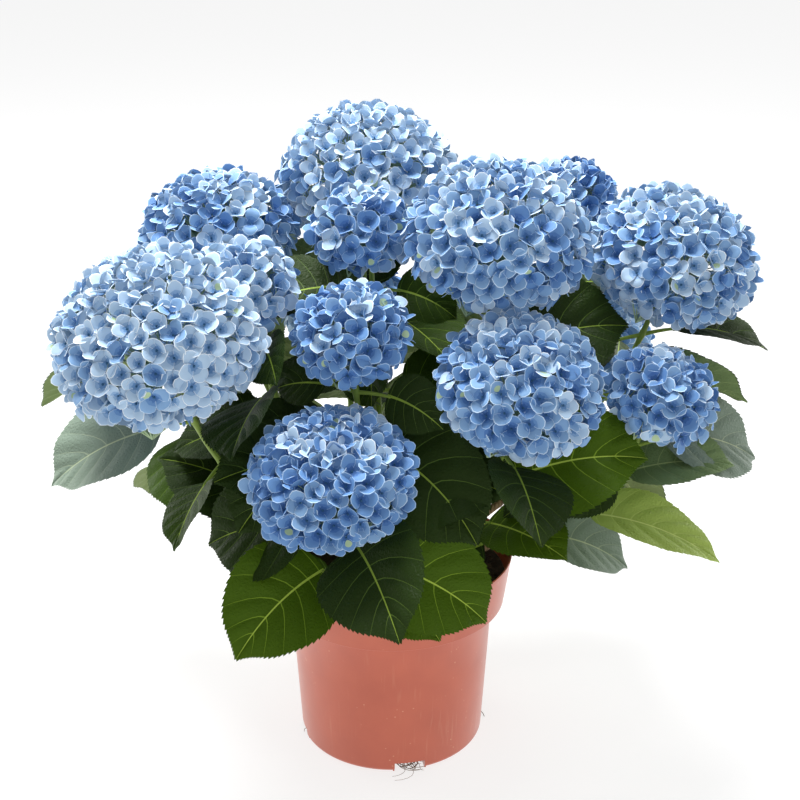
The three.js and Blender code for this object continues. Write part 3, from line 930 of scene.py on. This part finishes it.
def edge_teeth(points):
    """Points and faces of the saw teeth along both edges of a blade."""
    teeth, faces = [], []
    for row, inner, turn in ((0, 1, 1), (LAST_ROW, LAST_ROW - 1, -1)):
        for column in range(len(COLUMNS) - 1):
            first, second = top_at(row, column), top_at(row, column + 1)
            near, step = points[first], points[second] - points[first]
            size = np.linalg.norm(step)
            if size < 0.0016:
                continue
            beside = points[top_at(inner, column)]
            down = unit(points[under_at(inner, column)] - beside)
            teeth.append(near + step * 0.95 + unit(near - beside) * min(0.3 * size + 0.0005, 0.0022))
            teeth.append(near + step * 0.5 + down * 0.0004)
            tip, low = (len(points) + len(teeth) - back for back in (2, 1))
            tooth = ((second, first, tip), (first, low, tip), (low, second, tip))
            faces += [side[::turn] for side in tooth]
    return teeth, faces


def add_leaf(heap, midrib, tone, random):
    tops, unders = blade_rows(midrib, tone, random)
    points = np.concatenate(tops + unders[1:-1])
    tint = list(BLADE_TONES).index(tone) * 3
    faces, finishes = [], []
    for row in range(LAST_ROW):
        on_rib = row in (RIB_ROW - 1, RIB_ROW)
        for column, on_vein in enumerate(VEIN_STRIPS):
            corners = ((row, column), (row + 1, column), (row + 1, column + 1), (row, column + 1))
            top, under = ([at(*corner) for corner in corners] for at in (top_at, under_at))
            for a, b, c in ((0, 1, 2), (0, 2, 3)):
                faces += [(top[c], top[b], top[a]), (under[a], under[b], under[c])]
                finishes.append(tint + (2 if on_rib else 1 if on_vein else 0))
                finishes.append(UNDER_VEIN if on_rib or on_vein else UNDER)
    for end, turn in ((0, 1), (len(COLUMNS) - 1, -1)):
        ring = [top_at(row, end) for row in range(len(ROWS))]
        ring += [under_at(row, end) for row in range(LAST_ROW - 1, 0, -1)]
        faces.append(ring[::turn])
        finishes.append(tint)
    teeth, tooth_faces = edge_teeth(points)
    heap.add([*points, *teeth], faces + tooth_faces, finishes + [tint] * len(tooth_faces))
    stalk, _, face = midrib.at(np.linspace(-0.001, PETIOLE + 0.004, 7))
    radii = np.linspace(PETIOLE_RADIUS * 1.25, PETIOLE_RADIUS * 0.8, 7)
    heap.tube(stalk - face * 0.0007, radii, PETIOLE_SIDES, PETIOLE_GREEN)


def leaf_skin(name, colour, roughness, net=0.1):
    """Leathery leaf surface: a plain colour, with the fine net of veins raised in its relief."""
    finish = Finish(name, base_color=colour, roughness=roughness, specular_ior_level=0.10)
    place = finish.place()
    shift = finish.cloud(place, 120, 1) * 0.004
    bent = finish.node("ShaderNodeVectorMath", {0: place, 1: shift}, operation="ADD")
    cells = {"Vector": bent, "Scale": 280.0}
    lines = finish.node("ShaderNodeTexVoronoi", cells, feature="DISTANCE_TO_EDGE")
    height = lines * 1.6 + finish.cloud(place, 900) * 0.3
    return finish.feed(normal=finish.relief(height, 0.0007, net))


leaf_finishes = []
for tone, (core, vein, rib, roughness) in BLADE_TONES.items():
    leaf_finishes += [
        leaf_skin(f"blade_{tone}", core, roughness, 0.9),
        leaf_skin(f"vein_{tone}", vein, roughness + 0.04),
        leaf_skin(f"rib_{tone}", rib, roughness + 0.06),
    ]
UNDER, UNDER_VEIN, PETIOLE_GREEN = (3 * len(BLADE_TONES) + i for i in range(3))
leaf_finishes += [
    leaf_skin("blade_under", rgb(124, 144, 92), 0.6, 0.9),
    leaf_skin("vein_under", rgb(158, 174, 110), 0.55),
    leaf_skin("petiole_green", rgb(140, 164, 72), 0.42),
]

for shoot in shoots:
    leaf_heap = Heap()
    random = dice(shoot.seed + 5000)
    for tone, midrib in seated_leaves(shoot):
        add_leaf(leaf_heap, midrib, tone, random)
    leaves = leaf_heap.piece(f"leaves_{shoot.name}", leaf_finishes)
    leaves.data.set_sharp_from_angle(angle=radians(75))
    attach(leaves, "root")
    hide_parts(f"foliage_{shoot.name}")


# ---------------------------------------------------------------- blooms
# Mopheads: domed clusters of sterile florets, each of four broad cupped sepals round a bead of a
# bud, on branching stalklets from the top of the stem. A tree lays a few florets over each head's
# skin, closer and more cupped at the crown and wider open round the skirt.

FLORET_PITCH, HEAD_AREA = 0.0178, 0.8
BARE_FOOT = -0.84
GOLDEN_TURN = pi * (3 - sqrt(5))
SEPAL_LENGTH, SEPAL_HALF_WIDTH = 0.0154, 0.0080
SEPAL_SIDES, SEPAL_RINGS = 12, (1.0, 0.94, 0.5)
SEPAL_CURL = 0.0022
BUD_RADIUS, BUD_SIDES = 0.0013, 5
BRANCHES, BRANCH_REACH = 9, 0.62
# How steeply sepals rise at foot and tip, in degrees, and how deep such a floret sits in the
# head: cupped, half open, open
OPENINGS = ((16, 98), (22, 74), (34, 26))
DEPTHS = (0.0122, 0.0110, 0.0080)
# Floret shapes of each opening, of which the last has a green spot
VARIANTS = 3
# Florets within this of a neighbouring head are pressed flat, and those far beyond are left out
PRESSED, LEFT_OUT = 0.004, 1.16
# Shares of sky and of pale florets in each head; the rest are deep. The shares are partly the heads'
# own colours and partly painted light and shade: heads that catch strong light get many pale
# florets, and the low front heads, in shade, many deep ones
HEAD_TONES = {
    "big_left": (0.2, 0.8),
    "left": (0.3, 0.65),
    "top": (0.2, 0.8),
    "front": (0.3, 0),
    "middle": (0.15, 0.05),
    "low_right": (0.2, 0.1),
    "back_right": (0.2, 0.1),
    "right": (0.4, 0.4),
    "middle_high": (0.4, 0.15),
}
OTHER_HEAD = (0.5, 0.2)
# Colours of each tone's bands, and the numbers of those bands and of the spot and the bud. The rim
# band is partly the sepal's own pale margin and partly a painted highlight where its edge catches
# light; the deep band is partly the colour deepening to the sepal's foot and partly painted shade
# in the floret's cup
PETAL_TONES = {
    "sky": (rgb(180, 202, 222), rgb(118, 153, 192), rgb(94, 132, 179), rgb(72, 111, 163)),
    "pale": (rgb(212, 222, 230), rgb(162, 187, 211), rgb(132, 163, 197), rgb(98, 136, 179)),
    "deep": (rgb(154, 182, 212), rgb(92, 131, 180), rgb(73, 112, 167), rgb(55, 93, 148)),
}
BANDS = ("rim", "outer", "middle", "deep", "spot", "bud")
PALE_RIM_AND_HIGHLIGHT, OUTER, MIDDLE, DEEP_FOOT_AND_SHADE, SPOT, BUD = range(len(BANDS))


def add_sepal(heap, turn, base, length, half_width, rises, spotted):
    """One sepal: rings of points from its outline to its middle, spooned, and curving outwards
    from the angle at which it leaves its foot to the angle of its tip."""
    start, end = (radians(rise) for rise in rises)
    sine, cosine = sin(turn), cos(turn)
    placed, alongs = [], []
    for ring in (*SEPAL_RINGS, 0):
        for k in range(SEPAL_SIDES if ring else 1):
            angle = (k + 0.5) * 2 * pi / SEPAL_SIDES
            along = 0.53 - 0.53 * cos(angle) * ring
            flank = sin(angle) * ring * (0.40 + 0.60 * min(1, 1.6 * along))
            y = flank * half_width
            rise = start + (end - start) * along
            radial = length * (sin(rise) - sin(start)) / (end - start)
            height = length * (cos(start) - cos(rise)) / (end - start)
            spoon = 0.45 * abs(y) ** 1.6 / half_width**0.6 * (0.3 + 0.7 * along)
            rimward = hypot(max(along - 0.5, 0) * 2, flank)
            spoon -= SEPAL_CURL * max(0, rimward - 0.8) / 0.2
            x = radial - spoon * sin(rise)
            z = base + height + spoon * cos(rise)
            placed.append((x * cosine - y * sine, x * sine + y * cosine, z))
            alongs.append(along)
    faces, bands = [], []
    for ring in range(len(SEPAL_RINGS)):
        middle = len(placed) - 1 if ring + 1 == len(SEPAL_RINGS) else None
        for face in ring_faces(ring * SEPAL_SIDES, SEPAL_SIDES, middle):
            along = sum(alongs[corner] for corner in face) / len(face)
            faces.append(face)
            # The rim band is a pale margin with a painted highlight on it; the deep band at the foot is
            # a deeper colour with painted shade in it.
            if spotted and ring == 2 and along > 0.35:
                bands.append(SPOT)
            elif ring == 0 and along > 0.25:
                bands.append(PALE_RIM_AND_HIGHLIGHT)
            else:
                bands.append(DEEP_FOOT_AND_SHADE if along < 0.26 else MIDDLE if along < 0.5 else OUTER)
    heap.add(placed, faces, bands)


def floret_shape(name, opening, seed, spotted):
    heap = Heap()
    spread = spreader(dice(seed))
    for k in range(4):
        turn = radians(90 * k + spread(9))
        size = 1 + spread(0.09) - 0.06 * (k % 2)
        add_sepal(
            heap,
            turn,
            spread(0.0004) - 0.0012 * (k % 2),
            SEPAL_LENGTH * size,
            SEPAL_HALF_WIDTH * (1 + spread(0.08)),
            [rise + spread(12) - 10 * (k % 2) for rise in opening],
            spotted and k == 1,
        )
    turns = np.arange(BUD_SIDES) * 2 * pi / BUD_SIDES
    bud = [(BUD_RADIUS * cos(a), BUD_RADIUS * sin(a), 0.0012) for a in turns]
    faces = ring_faces(0, BUD_SIDES, BUD_SIDES)
    faces += [(b, a, BUD_SIDES + 1) for a, b, _ in faces]
    heap.add([*bud, (0, 0, 0.0026), (0, 0, -0.0006)], faces, BUD)
    floret = mesh_piece(name, heap.points, heap.faces, [])
    band = floret.data.attributes.new("band", "INT", "FACE")
    band.data.foreach_set("value", np.array(heap.finishes, dtype=np.int32))
    return floret


def petal_skin_with_painted_glow(name, colour):
    """Thin velvety sepal: a plain colour, uneven in its sheen and faintly crumpled, with a painted glow
    of that colour that stands in for the light passing through it and lifts its shade."""
    finish = Finish(
        name, base_color=colour, specular_ior_level=0.2, emission_color=colour, emission_strength=0.1
    )
    crumple = finish.cloud(finish.place(), 420)
    return finish.feed(roughness=0.5 + 0.24 * crumple, normal=finish.relief(crumple, 0.0004, 0.35))


spot_finish = petal_skin_with_painted_glow("sepal_green_spot", rgb(166, 188, 150))
bud_finish = petal_skin_with_painted_glow("floret_bud", rgb(52, 92, 124))
petal_finishes = []
for tone, colours in PETAL_TONES.items():
    petal_finishes += [petal_skin_with_painted_glow(f"sepal_{tone}_{band}", c) for band, c in zip(BANDS, colours)]
    petal_finishes += [spot_finish, bud_finish]


def floret_tree(florets):
    tree = Tree("florets_over_a_head", floret_size="Float")
    choice = {"Collection": florets, "Separate Children": True, "Reset Children": True}

    def named(label, kind):
        return tree.node("GeometryNodeInputNamedAttribute", {"Name": label}, data_type=kind)

    def math_node(operation, *values):
        return tree.node("ShaderNodeMath", dict(enumerate(values)), operation=operation)

    laid = tree.node(
        "GeometryNodeInstanceOnPoints",
        {
            "Points": tree.given("Geometry"),
            "Instance": tree.node("GeometryNodeCollectionInfo", choice),
            "Pick Instance": True,
            "Instance Index": named("shape", "INT"),
            "Rotation": named("turn", "FLOAT_VECTOR"),
            "Scale": math_node("MULTIPLY", named("share", "FLOAT"), tree.given("floret_size")),
        },
    )
    petals = tree.node("GeometryNodeRealizeInstances", {"Geometry": laid})
    code = math_node("MULTIPLY_ADD", named("tone", "INT"), len(BANDS), named("band", "INT"))
    for number, material in enumerate(petal_finishes):
        chosen = math_node("COMPARE", code, number, 0.4)
        coat = {"Geometry": petals, "Selection": chosen, "Material": material}
        petals = tree.node("GeometryNodeSetMaterial", coat)
    tree.finish(petals)
    return tree


floret_shapes = bpy.data.collections.new("floret_shapes")
for number in range(len(OPENINGS) * VARIANTS):
    opening, variant = divmod(number, VARIANTS)
    spotted = variant == VARIANTS - 1
    floret = floret_shape(f"floret_{number}", OPENINGS[opening], 31 + number, spotted)
    scene.collection.objects.unlink(floret)
    floret_shapes.objects.link(floret)
tree = floret_tree(floret_shapes)


def skin_radius(shoot, direction):
    """How far a head's skin is from its middle in a direction."""
    high = float(np.dot(direction, shoot.axis))
    wide = sqrt(max(0, 1 - high * high))
    depth = shoot.top_depth if high > 0 else shoot.under_depth
    return 1 / hypot(high / depth, wide / (shoot.width / 2))


def skin_normal(shoot, direction):
    high = float(np.dot(direction, shoot.axis))
    depth = shoot.top_depth if high > 0 else shoot.under_depth
    along = shoot.axis * high
    return unit(along / depth**2 + (direction - along) / (shoot.width / 2) ** 2)


def pressed_faces(shoot):
    """Planes where this head is flat against a neighbour, as (direction, distance)."""
    for other in shoots:
        towards = other.middle - shoot.middle
        apart = np.linalg.norm(towards)
        if other is not shoot and apart < (other.width + shoot.width) / 2 + GAP:
            towards = towards / apart
            mine, theirs = skin_radius(shoot, towards), skin_radius(other, -towards)
            yield towards, apart * mine / (mine + theirs) - 2 * GAP


stalklet_heap = Heap()
for shoot in shoots:
    random = dice(shoot.seed + 9000)
    radius = shoot.width / 2
    upright = Vector((0, 0, 1)).rotation_difference(Vector(shoot.axis))
    hub = shoot.at(shoot.length + STALK_SHARE * shoot.width * 0.9)
    knots = []
    for i in range(BRANCHES):
        tilt = acos(1 - (1.7 * i + 0.5) / BRANCHES)
        out = np.array(upright @ Vector(heading(i * GOLDEN_TURN, tilt)))
        knots.append(hub + out * radius * BRANCH_REACH)
    places, turns, shares, shapes, tones = [], [], [], [], []
    sky, pale = HEAD_TONES.get(shoot.name, OTHER_HEAD)
    walls = list(pressed_faces(shoot))
    count = round(4 * pi * radius * radius * HEAD_AREA / FLORET_PITCH**2)
    for i in range(count):
        high = 1 - (2 * i + 1) / count
        direction = np.array(upright @ Vector(heading(i * GOLDEN_TURN, acos(high))))
        draws = [next(random) for _ in range(9)]
        if high < BARE_FOOT:
            continue
        openness = 0.40 - 0.50 * high + 0.9 * (draws[0] - 0.5)
        opening = 0 if openness < 0.22 else 1 if openness < 0.68 else 2
        spotted = draws[1] < 0.05 + 0.10 * (high < 0.1)
        variant = VARIANTS - 1 if spotted else int(draws[1] * 97) % (VARIANTS - 1)
        sunk = DEPTHS[opening] - 0.005 * (draws[2] - 0.3)
        offset = direction * (skin_radius(shoot, direction) - sunk)
        hidden = False
        for towards, reach in walls:
            past = float(np.dot(offset, towards))
            hidden = hidden or past > LEFT_OUT * reach
            if past > reach - PRESSED:
                offset = offset * (reach - PRESSED) / past
        if hidden:
            continue
        sway = (0.8 - 0.3 * high) * (np.array(draws[3:6]) - 0.5)
        lifted = shoot.axis * (0.3 + 0.3 * max(0, 0.3 - high))
        normal = unit(skin_normal(shoot, direction) + sway + lifted)
        spin = Quaternion((0, 0, 1), draws[6] * 2 * pi)
        place = shoot.middle + offset
        places.append(place)
        turns += (Vector(normal).to_track_quat("Z", "Y") @ spin).to_euler()
        shares.append(0.86 + 0.24 * draws[7])
        shapes.append(opening * VARIANTS + variant)
        # Pale florets grow commoner towards the top of each head: painted light on the crown, where
        # light falls on it.
        pale_share_with_painted_light = pale + 1.1 * max(0, offset[2] / radius - 0.35)
        tones.append(1 if draws[8] < pale_share_with_painted_light else 0 if draws[8] < pale_share_with_painted_light + sky else 2)
        knot = min(knots, key=lambda k: np.linalg.norm(k - place))
        stalklet_heap.tube([knot, place - normal * 0.0004], (0.0009, 0.0006), 3, closed=False)
    for knot in knots:
        stalklet_heap.tube([hub, knot], (0.0017, 0.0011), 5)
    head =mesh_piece(f"florets_{shoot.name}", places, [], [])
    for label, kind, key, values in (
        ("share", "FLOAT", "value", shares),
        ("shape", "INT", "value", shapes),
        ("tone", "INT", "value", tones),
        ("turn", "FLOAT_VECTOR", "vector", turns),
    ):
        head.data.attributes.new(label, kind, "POINT").data.foreach_set(key, values)
    tree.grow(head, floret_size=1.0)
    for label in ("share", "shape", "tone", "band", "turn"):
        if label in head.data.attributes:
            head.data.attributes.remove(head.data.attributes[label])
    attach(head, "root")
    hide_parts(f"bloom_{shoot.name}")

for floret in list(floret_shapes.objects):
    bpy.data.objects.remove(floret)
bpy.data.collections.remove(floret_shapes)

stalklet_skin = leaf_skin("stalklet_green", rgb(168, 190, 150), 0.5)
stalklets = stalklet_heap.piece("floret_stalklets", [stalklet_skin])
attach(stalklets, "root")
